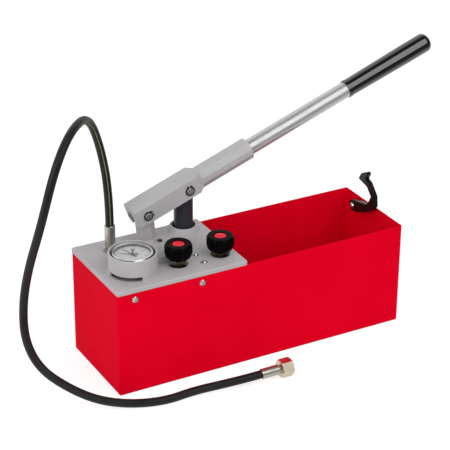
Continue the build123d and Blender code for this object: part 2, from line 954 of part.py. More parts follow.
# Handle latch, drawn swung open as it stands at rest
def make_hook():
    points = [(share_y * hook_reach, share_z * hook_reach) for share_y, share_z in hook_outline_shares]
    outline = make_face(Polyline(*points, close=True))
    outline = fillet(outline.vertices(), hook_corner)
    outline += Circle(hook_hub)
    body = extrude(outline, hook_thickness / 2, both=True)
    body -= rod(hook_screw_radius + running_gap, -hook_thickness, hook_thickness)
    standing = Rot(0, 0, 90) * Rot(90, 0, 0) * body
    return Pos(hook_x, hook_y, hook_z) * standing


def make_hook_screw():
    near = hook_x - hook_thickness / 2 - loose_gap
    far = right + hook_nut_height + hook_screw_head_height
    body = rod(hook_screw_radius, near - overrun, far)
    head = pan_head(hook_screw_head, hook_screw_head_height)
    body += Pos(0, 0, near) * mirror(head, Plane.XY)
    return Pos(0, hook_y, hook_z) * along_x(body)


def make_hook_nut():
    low = right
    body = hexagon(hook_nut_across, low, low + hook_nut_height)
    body -= rod(hook_screw_radius + seat_gap, low - overrun, low + hook_nut_height + overrun)
    return Pos(0, hook_y, hook_z) * along_x(body)


def make_hook_spacer():
    low = right - tank_sheet - hook_standoff
    body = tube(hook_screw_head, hook_screw_radius + seat_gap, low + seat_gap, right - tank_sheet)
    return Pos(0, hook_y, hook_z) * along_x(body)


# Screws with a cross recess in a domed head
def pan_head(radius, height):
    crown = screw_crown * radius / screw_head_radius
    head = turned([(0, 0), (radius, 0), (radius, screw_head_rim), (crown, height), (0, height)])
    span = screw_span * radius / screw_head_radius
    half = screw_cross / 2
    blade = slab(-span / 2, span / 2, -half, half, height - screw_recess, height + overrun)
    return head - blade - Rot(0, 0, 90) * blade


def make_screw(radius, length, head_radius, head_height):
    return pan_head(head_radius, head_height) + rod(radius, -length, screw_head_rim)


def make_vent_plug():
    head = rod(plug_head, 0, plug_head_height)
    head = chamfer(head.faces().sort_by(Axis.Z)[-1].edges(), plug_edge)
    x, y = vent_place()
    return Pos(x, y, plate_top) * (head + rod(vent_radius - seat_gap, -plug_length, plug_edge))


def make_block_screws():
    screw = make_screw(block_screw_radius, block_screw_length, screw_head_radius, screw_head_height)
    return Compound(children=[Pos(x, y, plate_top) * screw for x, y in block_screw_places()])


def make_tank_screws():
    screw = make_screw(screw_radius, screw_length, screw_head_radius, screw_head_height)
    screws = []
    for x in tank_screw_places():
        screws.append(Pos(x, front, tank_screw_z) * Rot(90, 0, 0) * screw)
        screws.append(Pos(x, back, tank_screw_z) * Rot(-90, 0, 0) * screw)
    return Compound(children=screws)


# Valves: gland, spindle, knob and coloured cap
def make_gland(x):
    seat = block_top - gland_recess
    body = rod(gland_thread, seat - gland_thread_length, seat + overrun)
    body += hexagon(gland_hex, seat, seat + gland_hex_height)
    collar_top = seat + gland_hex_height + gland_collar_height
    body += rod(gland_collar, seat + gland_hex_height - overrun, collar_top)
    body -= rod(spindle_radius + running_gap, seat - gland_thread_length - overrun, collar_top + overrun)
    return Pos(x, valve_y, 0) * body


def make_spindle(x, lift):
    low = block_top - gland_recess - gland_thread_length
    high = plate_top + lift + knob_socket_depth - seat_gap
    body = rod(spindle_radius, low + spindle_tip, high)
    point = spindle_radius * spindle_point_share
    body += Pos(0, 0, low) * Cone(point, spindle_radius, spindle_tip, align=on_bottom)
    return Pos(x, valve_y, 0) * body


def lobed_outline(radius):
    step = 360 / knob_lobes
    valley = radius * knob_valley_share
    arcs = []
    for index in range(knob_lobes):
        start, middle, end = (Vector(reach, 0).rotate(Axis.Z, turn * step) for reach, turn in
                              ((valley, index), (radius, index + 1 / 2), (valley, index + 1)))
        arcs.append(ThreePointArc(start, middle, end))
    return make_face(Curve() + arcs)


def make_knob(x, lift):
    sections = [
        Pos(0, 0, knob_height * high) * lobed_outline(knob_radius * wide)
        for high, wide in zip(knob_height_shares, knob_radius_shares)
    ]
    body = loft(sections, ruled=True)
    shoulder = knob_height - knob_shoulder
    body = body & turned([
        (0, 0),
        (knob_radius + overrun, 0),
        (knob_radius + overrun, shoulder),
        ((knob_radius + knob_rim) / 2, shoulder + knob_shoulder_rise),
        (knob_rim, knob_height),
        (0, knob_height),
    ])
    body -= rod(knob_recess, knob_height - knob_recess_depth, knob_height + overrun)
    body -= rod(spindle_radius + seat_gap, -overrun, knob_socket_depth)
    return Pos(x, valve_y, plate_top + lift) * body


def make_knob_cap(x, lift):
    low = plate_top + lift + knob_height - knob_recess_depth
    edge = knob_recess_depth - cap_dome
    radius = knob_recess - cap_gap
    dome = (radius ** 2 + cap_dome ** 2) / (2 * cap_dome)
    body = Pos(0, 0, edge + cap_dome - dome) * Sphere(dome)
    body = body & rod(radius, 0, edge + cap_dome)
    return Pos(x, valve_y, low) * body


# Gauge, dial up in its cup
def gauge_bottom():
    return plate_top + gauge_lift


def gauge_top():
    return gauge_bottom() + gauge_depth


def make_gauge_case():
    low = gauge_bottom()
    body = rod(gauge_radius, low, gauge_top())
    body -= rod(gauge_radius - gauge_wall, low + gauge_wall, gauge_top() + overrun)
    body += hexagon(stem_hex, well_floor(), low + overrun)
    body += rod(stem_thread, block_top - stem_length + loose_gap, plate_top)
    body -= rod(passage_radius, block_top - stem_length - overrun, low - gauge_wall)
    return Pos(gauge_x, gauge_y, 0) * body


def bezel_top():
    return gauge_top() + gauge_wall


def make_bezel():
    top = bezel_top()
    body = rod(bezel_radius, top - bezel_height, top)
    body = chamfer(body.faces().sort_by(Axis.Z)[-1].edges(), bezel_edge)
    body -= rod(gauge_radius + seat_gap, top - bezel_height - overrun, top - gauge_wall)
    body -= rod(bezel_radius - bezel_lip, top - bezel_height, top + overrun)
    return Pos(gauge_x, gauge_y, 0) * body


def glass_top():
    return bezel_top() - gauge_wall - seat_gap


def dial_top():
    return bezel_top() - dial_drop + dial_thickness


def make_glass():
    radius = gauge_radius - gauge_wall - seat_gap
    top = glass_top()
    return tube(radius, shaft_radius + running_gap, top - glass_thickness, top, gauge_x, gauge_y)


def make_dial():
    radius = gauge_radius - gauge_wall - seat_gap
    top = dial_top()
    return tube(radius, shaft_radius + loose_gap, top - dial_thickness, top, gauge_x, gauge_y)


def needle(length, tail, width, low):
    half = width / 2
    points = [(-tail, -width), (0, -half), (length, -half / 4), (length, half / 4), (0, half), (-tail, width)]
    outline = make_face(Polyline(*points, close=True))
    return Pos(0, 0, low) * extrude(outline, pointer_thickness)


def make_pointer():
    low = dial_top() + pointer_lift
    body = needle(pointer_length, pointer_tail, pointer_width, low)
    body += rod(pointer_hub, low, low + pointer_thickness)
    body += rod(shaft_radius, gauge_bottom() + gauge_wall + loose_gap, low + pointer_thickness)
    return Pos(gauge_x, gauge_y, 0) * Rot(0, 0, pointer_rest) * body


def make_drag_pointer():
    low = dial_top() + drag_lift
    body = needle(drag_length, pointer_tail, pointer_width, low)
    body += rod(pointer_hub, low, low + pointer_thickness)
    body += rod(shaft_radius, low, glass_top() + button_lift / 2)
    return Pos(gauge_x, gauge_y, 0) * Rot(0, 0, drag_rest) * body


def make_button():
    low = glass_top() + running_gap
    body = rod(button_neck, low, low + button_lift + overrun)
    head = rod(button_radius, low + button_lift, low + button_lift + button_height)
    body += chamfer(head.edges().filter_by(GeomType.CIRCLE), button_edge)
    body -= rod(shaft_radius + seat_gap, low - overrun, low + button_lift / 2)
    return Pos(gauge_x, gauge_y, 0) * body


def make_bourdon():
    low = gauge_bottom() + gauge_wall
    inner = bourdon_radius - bourdon_width / 2
    outer = bourdon_radius + bourdon_width / 2
    outline = make_face(Polyline((inner, 0, low), (outer, 0, low), (outer, 0, low + bourdon_thickness),
                                 (inner, 0, low + bourdon_thickness), close=True))
    return Pos(gauge_x, gauge_y, 0) * revolve(outline, Axis.Z, bourdon_sweep)


# Outlet nipple, ferrules and hose
def ferrule_low():
    return plate_top + outlet_hex_height


def ferrule_high():
    return ferrule_low() + ferrule_length


def make_outlet_nipple():
    body = rod(outlet_thread, block_top - port_depth + loose_gap, plate_top + overrun)
    body += hexagon(outlet_hex, plate_top, ferrule_low())
    body += rod(outlet_neck - ferrule_wall, ferrule_low() - overrun, ferrule_high() - ferrule_length / 2)
    body -= rod(passage_radius, block_top - port_depth - overrun, ferrule_high())
    return Pos(outlet_x, outlet_y, 0) * body


def ferrule(radius, length):
    body = rod(radius, 0, length)
    return chamfer(body.edges().filter_by(GeomType.CIRCLE), ferrule_edge)


def make_inlet_ferrule():
    body = ferrule(ferrule_radius, ferrule_length)
    body -= rod(outlet_neck - ferrule_wall + seat_gap, -overrun, ferrule_length / 2 + seat_gap)
    return Pos(outlet_x, outlet_y, ferrule_low()) * body


def hose_axis_z():
    return nut_across / 2 + floor_gap


def hose_route():
    start = (outlet_x, outlet_y, ferrule_high())
    risen = (outlet_x, outlet_y, ferrule_high() + hose_rise)
    before = (hose_end_x - hose_end_run, hose_end_y, hose_axis_z())
    end = (hose_end_x, hose_end_y, hose_axis_z())
    return [Vector(*point) for point in (start, risen, *hose_turns, before, end)]


def bend_radii(route):
    radii = []
    for before, point, after in zip(route, route[1:], route[2:]):
        turn = radians((point - before).get_angle(after - point))
        shorter = min((point - before).length, (after - point).length)
        radii.append(hose_arc_share * shorter / tan(turn / 2))
    return radii


def make_hose():
    route = hose_route()
    radii = bend_radii(route)
    path = FilletPolyline(*route, radius=radii)
    section = Plane(route[0], z_dir=(0, 0, 1)) * Circle(hose_radius)
    body = sweep(section, path)
    section_area = pi * hose_radius ** 2
    print("hose bend radii", [round(radius) for radius in radii])
    print("hose length", round(path.length, 1), "volume against section times length",
          round(body.volume / (section_area * path.length), 5))
    return body


# Union at the free end of the hose, on the hose's own axis
def on_hose_end(body):
    return Pos(hose_end_x, hose_end_y, hose_axis_z()) * along_x(body)


def make_end_ferrule():
    body = ferrule(end_ferrule_radius, end_ferrule_length)
    body -= rod(neck_radius - ferrule_wall + seat_gap, end_ferrule_length / 2, end_ferrule_length + overrun)
    return on_hose_end(body)


def flange_low():
    return end_ferrule_length + neck_length


def make_end_nipple():
    inner = neck_radius - ferrule_wall
    body = rod(inner, end_ferrule_length / 2 + seat_gap, end_ferrule_length + overrun)
    body += rod(neck_radius, end_ferrule_length, flange_low() + overrun)
    body += rod(flange_radius, flange_low(), flange_low() + flange_thickness)
    body -= rod(passage_radius, 0, flange_low() + flange_thickness + overrun)
    return on_hose_end(body)


def nut_low():
    return flange_low() - nut_wall - loose_gap


def make_coupling_nut():
    low = nut_low()
    high = low + nut_length
    body = Rot(0, 0, 30) * hexagon(nut_across, low, high)  # one flat faces down
    corner = nut_across / sqrt(3)
    body = body & turned([
        (0, low),
        (corner - nut_chamfer, low),
        (corner, low + nut_chamfer),
        (corner, high - nut_chamfer),
        (corner - nut_chamfer, high),
        (0, high),
    ])
    body -= rod(neck_radius + loose_gap, low - overrun, high)
    body -= rod(nut_relief, low + nut_wall, low + nut_wall + nut_relief_length)
    body -= rod(nut_thread, low + nut_wall, high + overrun)
    return on_hose_end(body)


def make_coupling_washer():
    low = flange_low() + flange_thickness + seat_gap
    return on_hose_end(tube(flange_radius, washer_inner, low, low + washer_thickness))


def pieces():
    return {
        "tank": make_tank(),
        "head_plate": make_head_plate(),
        "valve_block": make_valve_block(),
        "vent_plug": make_vent_plug(),
        "block_screws": make_block_screws(),
        "tank_screws": make_tank_screws(),
        "cylinder_barrel": make_barrel(),
        "cylinder_foot": make_foot(),
        "suction_ball": make_suction_ball(),
        "suction_strainer": make_strainer(),
        "delivery_pipe": make_delivery_pipe(),
        "return_pipe": make_return_pipe(),
        "piston_rod": make_piston_rod(),
        "piston_head": make_piston_head(),
        "piston_seal": make_piston_seal(),
        "lever_beam": make_lever_beam(),
        "fulcrum_pin": make_pin(0),
        "piston_pin": make_pin(pin_spacing),
        "pin_clips": make_clips(),
        "handle_tube": make_handle_tube(),
        "handle_grip": make_grip(),
        "handle_hook": make_hook(),
        "hook_screw": make_hook_screw(),
        "hook_nut": make_hook_nut(),
        "hook_spacer": make_hook_spacer(),
        "shutoff_gland": make_gland(shutoff_x),
        "shutoff_spindle": make_spindle(shutoff_x, shutoff_lift),
        "shutoff_knob": make_knob(shutoff_x, shutoff_lift),
        "shutoff_cap": make_knob_cap(shutoff_x, shutoff_lift),
        "release_gland": make_gland(release_x),
        "release_spindle": make_spindle(release_x, release_lift),
        "release_knob": make_knob(release_x, release_lift),
        "release_cap": make_knob_cap(release_x, release_lift),
        "gauge_case": make_gauge_case(),
        "gauge_bezel": make_bezel(),
        "gauge_glass": make_glass(),
        "gauge_dial": make_dial(),
        "gauge_pointer": make_pointer(),
        "gauge_drag_pointer": make_drag_pointer(),
        "gauge_button": make_button(),
        "gauge_bourdon_tube": make_bourdon(),
        "outlet_nipple": make_outlet_nipple(),
        "inlet_ferrule": make_inlet_ferrule(),
        "pressure_hose": make_hose(),
        "end_ferrule": make_end_ferrule(),
        "end_nipple": make_end_nipple(),
        "coupling_nut": make_coupling_nut(),
        "coupling_washer": make_coupling_washer(),
    }


def print_motion():
    print("lever turns", round(lever_down, 2), "to", round(lever_up, 2), "degrees from rest about",
          [round(value, 2) for value in (pivot_x, lever_y, pivot_z)])
    print("piston slides", round(-travel_down, 2), "to", round(travel_up, 2), "mm,", round(piston_rate, 2),
          "mm per radian, at x", round(piston_x, 2), "pin error", round(pin_error, 2))
    print("hook swings", round(hook_turn, 2), "degrees to shut about",
          [round(value, 2) for value in (hook_x, hook_y, hook_z)])
    print("valves at", round(shutoff_x, 2), round(release_x, 2), round(valve_y, 2))
    print("gauge at", round(gauge_x, 2), round(gauge_y, 2), "union axis", hose_end_y, round(hose_axis_z(), 2),
          "nut mouth at x", round(hose_end_x + nut_low() + nut_length, 2))


print_motion()
for name, piece in pieces().items():
    export_step(piece, "parts/" + name + ".step")
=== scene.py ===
import math
import bpy
from mathutils import Euler, Matrix, Vector
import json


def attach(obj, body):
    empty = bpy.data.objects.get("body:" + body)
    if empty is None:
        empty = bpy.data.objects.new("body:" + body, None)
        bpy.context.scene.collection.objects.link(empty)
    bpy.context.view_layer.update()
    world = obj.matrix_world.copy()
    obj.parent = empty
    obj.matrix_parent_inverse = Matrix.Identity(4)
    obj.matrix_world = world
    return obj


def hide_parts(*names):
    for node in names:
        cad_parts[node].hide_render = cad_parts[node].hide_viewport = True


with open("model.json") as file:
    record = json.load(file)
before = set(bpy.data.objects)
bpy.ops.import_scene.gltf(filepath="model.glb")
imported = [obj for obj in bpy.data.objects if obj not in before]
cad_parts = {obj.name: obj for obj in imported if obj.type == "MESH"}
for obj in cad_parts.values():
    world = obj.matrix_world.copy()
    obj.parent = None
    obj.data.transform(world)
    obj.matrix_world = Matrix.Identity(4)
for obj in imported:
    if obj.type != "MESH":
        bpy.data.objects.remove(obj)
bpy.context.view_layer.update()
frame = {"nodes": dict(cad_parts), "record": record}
cadNodes = frame["nodes"]


# Camera at the photograph's own angle, in degrees; lens and sensor in millimetres
cameraSettings = {
    "place": (-1.12570, -1.99202, 1.32144),
    "azimuth": -28.915,
    "elevation": 26.384,
    "roll": 0.437,
    "lens": 136.71,
    "sensorWidth": 36,
    "nearest": 0.05,
    "farthest": 60,
}


def addCamera():
    data = bpy.data.cameras.new("photoCamera")
    data.sensor_width = cameraSettings["sensorWidth"]
    data.lens = cameraSettings["lens"]
    data.clip_start = cameraSettings["nearest"]
    data.clip_end = cameraSettings["farthest"]
    camera = bpy.data.objects.new("photoCamera", data)
    bpy.context.scene.collection.objects.link(camera)
    tilt = math.radians(90 - cameraSettings["elevation"])
    heading = math.radians(cameraSettings["azimuth"])
    turn = Euler((tilt, 0, heading)).to_matrix().to_4x4()
    roll = Matrix.Rotation(math.radians(cameraSettings["roll"]), 4, "Z")
    camera.matrix_world = Matrix.Translation(cameraSettings["place"]) @ turn @ roll
    bpy.context.scene.camera = camera


addCamera()
bpy.context.scene.view_settings.view_transform = "Standard"
print("camera ready")


# Pressure hose, laid along the same points as the solid tube
hoseSettings = {
    "radius": 0.00625,
    "length": 0.987,  # as declared; the smooth line measures 0.978
    "ringSteps": 6,  # how finely it is divided round
    "lengthSteps": 16,  # and along
    "points": (
        (-0.1929, 0.045, 0.2118), (-0.1929, 0.045, 0.2665), (-0.1924, 0.070, 0.3249),
        (-0.216, 0.058, 0.385), (-0.270, -0.004, 0.396), (-0.308, -0.033, 0.358),
        (-0.330, -0.026, 0.270), (-0.342, -0.004, 0.200), (-0.351, 0.002, 0.142),
        (-0.354, -0.006, 0.088), (-0.342, -0.027, 0.049), (-0.315, -0.058, 0.027),
        (-0.282, -0.091, 0.013), (-0.239, -0.114, 0.00625), (-0.190, -0.129, 0.00625),
        (-0.144, -0.124, 0.00625), (-0.096, -0.132, 0.009), (-0.0636, -0.139, 0.0126),
        (-0.0396, -0.139, 0.0126),
    ),
    "fittings": ("inlet_ferrule", "end_ferrule", "end_nipple", "coupling_nut", "coupling_washer"),
}


def addHose():
    curve = bpy.data.curves.new("pressureHose", "CURVE")
    curve.dimensions = "3D"
    curve.bevel_depth = 1  # each point's own radius gives the thickness, so the hose's box fits it
    curve.bevel_resolution = hoseSettings["ringSteps"]
    curve.resolution_u = hoseSettings["lengthSteps"]
    curve.use_fill_caps = True
    spline = curve.splines.new("NURBS")
    spline.points.add(len(hoseSettings["points"]) - 1)
    for point, place in zip(spline.points, hoseSettings["points"]):
        point.co = (*place, 1)
        point.radius = hoseSettings["radius"]
    spline.order_u = 3
    spline.use_endpoint_u = True
    hose = bpy.data.objects.new("pressureHose", curve)
    bpy.context.scene.collection.objects.link(hose)
    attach(hose, "pump")
    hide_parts("pressure_hose")
    return hose


pressureHose = addHose()
print("hose laid")


# Small tools for finishes; a pattern's size is in metres
patternRange = (0.35, 0.65)  # the part of a noise's range that a spread follows
shadeStops = (0.3, 0.7)  # where the dark shade ends and where the light one starts


def newFinish(name):
    finish = bpy.data.materials.new(name)
    finish.use_nodes = True
    nodes = finish.node_tree.nodes
    shader = nodes["Principled BSDF"]
    return finish, nodes, finish.node_tree.links, shader


def patternSpace(nodes, links, stretch=(1, 1, 1), turn=(0, 0, 0), source="Object", along="POINT"):
    place = nodes.new("ShaderNodeTexCoord")
    mapping = nodes.new("ShaderNodeMapping")
    mapping.vector_type = along
    mapping.inputs["Scale"].default_value = stretch
    mapping.inputs["Rotation"].default_value = turn
    links.new(place.outputs[source], mapping.inputs["Vector"])
    return mapping.outputs["Vector"]


def grain(nodes, links, space, size, detail, roughness=0.5):
    noise = nodes.new("ShaderNodeTexNoise")
    noise.inputs["Scale"].default_value = 1 / size
    noise.inputs["Detail"].default_value = detail
    noise.inputs["Roughness"].default_value = roughness
    links.new(space, noise.inputs["Vector"])
    return noise.outputs["Fac"]


def spread(nodes, links, value, low, high, fromLow=patternRange[0], fromHigh=patternRange[1]):
    span = nodes.new("ShaderNodeMapRange")
    span.inputs["From Min"].default_value = fromLow
    span.inputs["From Max"].default_value = fromHigh
    span.inputs["To Min"].default_value = low
    span.inputs["To Max"].default_value = high
    links.new(value, span.inputs["Value"])
    return span.outputs["Result"]


def shades(nodes, links, value, dark, light):
    ramp = nodes.new("ShaderNodeValToRGB")
    for element, position, colour in zip(ramp.color_ramp.elements, shadeStops, (dark, light)):
        element.position = position
        element.color = (*colour, 1)
    links.new(value, ramp.inputs["Fac"])
    return ramp.outputs["Color"]


def relief(nodes, links, height, strength, depth, under=None):
    bump = nodes.new("ShaderNodeBump")
    bump.inputs["Strength"].default_value = strength
    bump.inputs["Distance"].default_value = depth
    links.new(height, bump.inputs["Height"])
    if under is not None:
        links.new(under, bump.inputs["Normal"])
    return bump.outputs["Normal"]


# Red enamel of the tank: nearly matt, with a fine orange peel
enamelSettings = {
    "dark": (0.70, 0.0002, 0.0145),
    "light": (0.75, 0.0006, 0.0175),
    "cloudSize": 0.09,
    "peelSize": 0.0022,
    "peelStrength": 0.06,
    "peelDepth": 0.0004,
    "rough": (0.40, 0.48),
    "gloss": 0.005,
}


def redEnamel():
    finish, nodes, links, shader = newFinish("redEnamel")
    space = patternSpace(nodes, links)
    clouds = grain(nodes, links, space, enamelSettings["cloudSize"], detail=2)
    peel = grain(nodes, links, space, enamelSettings["peelSize"], detail=2)
    tint = shades(nodes, links, clouds, enamelSettings["dark"], enamelSettings["light"])
    links.new(tint, shader.inputs["Base Color"])
    links.new(spread(nodes, links, clouds, *enamelSettings["rough"]), shader.inputs["Roughness"])
    skin = relief(nodes, links, peel, enamelSettings["peelStrength"], enamelSettings["peelDepth"])
    links.new(skin, shader.inputs["Normal"])
    shader.inputs["Specular IOR Level"].default_value = enamelSettings["gloss"]
    return finish


# Grey paint over a sand casting
castSettings = {
    "rough": 0.50,
    "roughSpread": 0.06,
    "cloudSize": 0.035,
    "sandSize": 0.0008,
    "sandRoughness": 0.6,
    "sandStrength": 0.16,
    "sandDepth": 0.0002,
    "swellSize": 0.006,
    "swellStrength": 0.10,
    "swellDepth": 0.0006,
}


def castPaint(name, dark, light):
    finish, nodes, links, shader = newFinish(name)
    space = patternSpace(nodes, links)
    clouds = grain(nodes, links, space, castSettings["cloudSize"], detail=3)
    sand = grain(nodes, links, space, castSettings["sandSize"], detail=3,
                 roughness=castSettings["sandRoughness"])
    swell = grain(nodes, links, space, castSettings["swellSize"], detail=2)
    links.new(shades(nodes, links, clouds, dark, light), shader.inputs["Base Color"])
    smooth = castSettings["rough"] - castSettings["roughSpread"]
    coarse = castSettings["rough"] + castSettings["roughSpread"]
    links.new(spread(nodes, links, sand, smooth, coarse), shader.inputs["Roughness"])
    soft = relief(nodes, links, swell, castSettings["swellStrength"], castSettings["swellDepth"])
    skin = relief(nodes, links, sand, castSettings["sandStrength"], castSettings["sandDepth"], soft)
    links.new(skin, shader.inputs["Normal"])
    return finish


# Bare and plated metals: the stretch sets which way the streaks run
metalSettings = {
    "streakSize": 0.002,
    "streakRoughness": 0.6,
    "streakDepth": 0.0002,
    "cloudSize": 0.02,
    "smoother": 0.05,  # how far the roughness falls below the one given
    "coarser": 0.07,  # and rises above it
}


def streakedMetal(name, dark, light, rough, stretch=(1, 1, 1), turn=(0, 0, 0), along="POINT",
                  metal=1.0, gloss=0.5, strength=0.05):
    finish, nodes, links, shader = newFinish(name)
    space = patternSpace(nodes, links, stretch, turn, along=along)
    streaks = grain(nodes, links, space, metalSettings["streakSize"], detail=4,
                    roughness=metalSettings["streakRoughness"])
    clouds = grain(nodes, links, patternSpace(nodes, links), metalSettings["cloudSize"], detail=2)
    links.new(shades(nodes, links, streaks, dark, light), shader.inputs["Base Color"])
    smooth = rough - metalSettings["smoother"]
    coarse = rough + metalSettings["coarser"]
    links.new(spread(nodes, links, clouds, smooth, coarse), shader.inputs["Roughness"])
    skin = relief(nodes, links, streaks, strength, metalSettings["streakDepth"])
    links.new(skin, shader.inputs["Normal"])
    shader.inputs["Metallic"].default_value = metal
    shader.inputs["Specular IOR Level"].default_value = gloss
    return finish


# Moulded plastic, rubber, lacquer and print
plasticSettings = {
    "grainSize": 0.0006,
    "grainDepth": 0.00015,
    "cloudSize": 0.012,
    "smoother": 0.04,  # how far the roughness falls below the one given
    "coarser": 0.06,  # and rises above it
}


def mouldedPlastic(name, dark, light, rough, strength=0.1, gloss=0.5, index=1.45):
    finish, nodes, links, shader = newFinish(name)
    space = patternSpace(nodes, links)
    fine = grain(nodes, links, space, plasticSettings["grainSize"], detail=2)
    clouds = grain(nodes, links, space, plasticSettings["cloudSize"], detail=3)
    links.new(shades(nodes, links, clouds, dark, light), shader.inputs["Base Color"])
    smooth = rough - plasticSettings["smoother"]
    coarse = rough + plasticSettings["coarser"]
    links.new(spread(nodes, links, clouds, smooth, coarse), shader.inputs["Roughness"])
    skin = relief(nodes, links, fine, strength, plasticSettings["grainDepth"])
    links.new(skin, shader.inputs["Normal"])
    shader.inputs["Specular IOR Level"].default_value = gloss
    shader.inputs["IOR"].default_value = index
    return finish


# Thin clear pane of the gauge, faintly smeared
paneSettings = {
    "dark": (0.78, 0.79, 0.79),
    "light": (0.84, 0.85, 0.85),
    "smearSize": 0.01,
    "rough": (0.0, 0.03),
    "alpha": 0.10,
}


def clearWindow():
    finish, nodes, links, shader = newFinish("clearWindow")
    smear = grain(nodes, links, patternSpace(nodes, links), paneSettings["smearSize"], detail=2)
    links.new(spread(nodes, links, smear, *paneSettings["rough"]), shader.inputs["Roughness"])
    tint = shades(nodes, links, smear, paneSettings["dark"], paneSettings["light"])
    links.new(tint, shader.inputs["Base Color"])
    shader.inputs["Alpha"].default_value = paneSettings["alpha"]
    return finish


leverSlope = math.radians(20.2)  # the handle's rise at rest
roundZ = (1, 1, 12)  # turning marks round an upright axis

# One finish for each material slot but the hose's; the two colours are its dark and its light shade
finishes = {
    "tank": redEnamel(),
    "casting": castPaint("greyCasting", (0.385, 0.368, 0.375), (0.43, 0.412, 0.42)),
    "lever": castPaint("greyLever", (0.385, 0.375, 0.385), (0.42, 0.41, 0.42)),
    "block": streakedMetal("machinedBlock", (0.42, 0.42, 0.43), (0.58, 0.58, 0.59), rough=0.38,
                           stretch=(1, 0.1, 1)),
    "screw_steel": streakedMetal("zincScrew", (0.50, 0.50, 0.49), (0.72, 0.72, 0.71), rough=0.26,
                                 stretch=(1, 1, 0.3)),
    "barrel": streakedMetal("turnedBrass", (0.50, 0.34, 0.13), (0.68, 0.50, 0.22), rough=0.30,
                            stretch=roundZ),
    "pipe": streakedMetal("drawnBrass", (0.50, 0.34, 0.14), (0.66, 0.47, 0.22), rough=0.28,
                          stretch=(8, 8, 0.3)),
    "ball": streakedMetal("polishedBall", (0.6, 0.6, 0.6), (0.75, 0.75, 0.75), rough=0.12),
    "strainer": mouldedPlastic("strainerPlastic", (0.02, 0.02, 0.02), (0.035, 0.035, 0.035), rough=0.5),
    "rod": streakedMetal("hardenedRod", (0.026, 0.027, 0.034), (0.044, 0.045, 0.056), rough=0.36,
                         stretch=(10, 10, 0.15), metal=0.25, gloss=0.25),
    "piston": streakedMetal("pistonBrass", (0.50, 0.34, 0.13), (0.68, 0.50, 0.22), rough=0.30,
                            stretch=roundZ),
    "seal": mouldedPlastic("sealRubber", (0.008, 0.008, 0.008), (0.014, 0.014, 0.014), rough=0.6,
                           gloss=0.2),
    "pin": streakedMetal("turnedPin", (0.42, 0.42, 0.43), (0.66, 0.66, 0.67), rough=0.32,
                         stretch=(1, 0.2, 1)),
    "clip": streakedMetal("springSteel", (0.012, 0.012, 0.012), (0.03, 0.03, 0.03), rough=0.35,
                          metal=0.3),
    "handle": streakedMetal("brightTube", (0.44, 0.44, 0.45), (0.60, 0.60, 0.61), rough=0.25,
                            stretch=(25, 0.5, 0.5), turn=(0, -leverSlope, 0), along="TEXTURE",
                            metal=0.55, strength=0.004),
    "grip": mouldedPlastic("gripPlastic", (0.0015, 0.0015, 0.0016), (0.003, 0.003, 0.0032), rough=0.12,
                           strength=0.01, gloss=1.0, index=1.6),
    "latch": mouldedPlastic("latchPlastic", (0.003, 0.003, 0.003), (0.006, 0.006, 0.006), rough=0.32,
                            strength=0.08, gloss=0.22),
    "knob": mouldedPlastic("knobPlastic", (0.0008, 0.0008, 0.0008), (0.0016, 0.0016, 0.0016), rough=0.26,
                           strength=0.08, gloss=0.05),
    "cap": mouldedPlastic("capPlastic", (0.62, 0.002, 0.014), (0.72, 0.004, 0.02), rough=0.25,
                          strength=0.04, gloss=0.3),
    "gland": streakedMetal("glandBrass", (0.46, 0.34, 0.12), (0.66, 0.50, 0.20), rough=0.30,
                           stretch=roundZ),
    # Lighter than the other brass: painted light on a spindle that the knob above shades
    "spindle": streakedMetal("spindlePaintedLight", (0.66, 0.54, 0.28), (0.88, 0.76, 0.46), rough=0.24,
                             stretch=roundZ),
    "gauge_case": mouldedPlastic("caseLacquer", (0.006, 0.006, 0.006), (0.012, 0.012, 0.012), rough=0.4,
                                 gloss=0.25),
    "bezel": streakedMetal("chromeBezel", (0.58, 0.58, 0.59), (0.74, 0.74, 0.75), rough=0.24,
                           stretch=(1, 1, 8)),
    "glass": clearWindow(),
    # The dial is white; its colour is greyed to about half, as painted shade inside the deep cup
    "dial": mouldedPlastic("dialGreyPaintedShade", (0.50, 0.49, 0.50), (0.54, 0.53, 0.54), rough=0.5,
                           strength=0.02, gloss=0.3),
    "pointer": mouldedPlastic("pointerBlack", (0.01, 0.01, 0.01), (0.02, 0.02, 0.02), rough=0.35,
                              gloss=0.3),
    "button": streakedMetal("buttonBronze", (0.36, 0.32, 0.25), (0.55, 0.50, 0.41), rough=0.30,
                            stretch=(1, 1, 8)),
    "bourdon": streakedMetal("bourdonBrass", (0.50, 0.34, 0.13), (0.66, 0.48, 0.22), rough=0.3),
    "fitting": streakedMetal("platedFitting", (0.36, 0.35, 0.30), (0.62, 0.60, 0.53), rough=0.30,
                             stretch=(5, 5, 0.4)),
    "union": streakedMetal("platedUnion", (0.60, 0.53, 0.39), (0.80, 0.73, 0.57), rough=0.30,
                           stretch=(0.5, 6, 6)),
    "washer": mouldedPlastic("washerRubber", (0.01, 0.01, 0.01), (0.02, 0.02, 0.02), rough=0.6,
                             gloss=0.25),
}


# Rubber cover with one plain worn lay line along the hose
coverSettings = {
    "dark": (0.006, 0.006, 0.006),
    "light": (0.012, 0.0115, 0.012),
    "clothSize": 0.0012,
    "clothRoughness": 0.65,
    "clothStrength": 0.25,
    "clothDepth": 0.0003,
    "cloudSize": 0.02,
    "rough": (0.40, 0.52),
    "gloss": 0.30,
    "lineColour": (0.30, 0.30, 0.10, 1),
    "lineTurnShare": 0.155,
    "lineWidthShare": 0.02,
    "lineWorn": (0.25, 0.85),
}


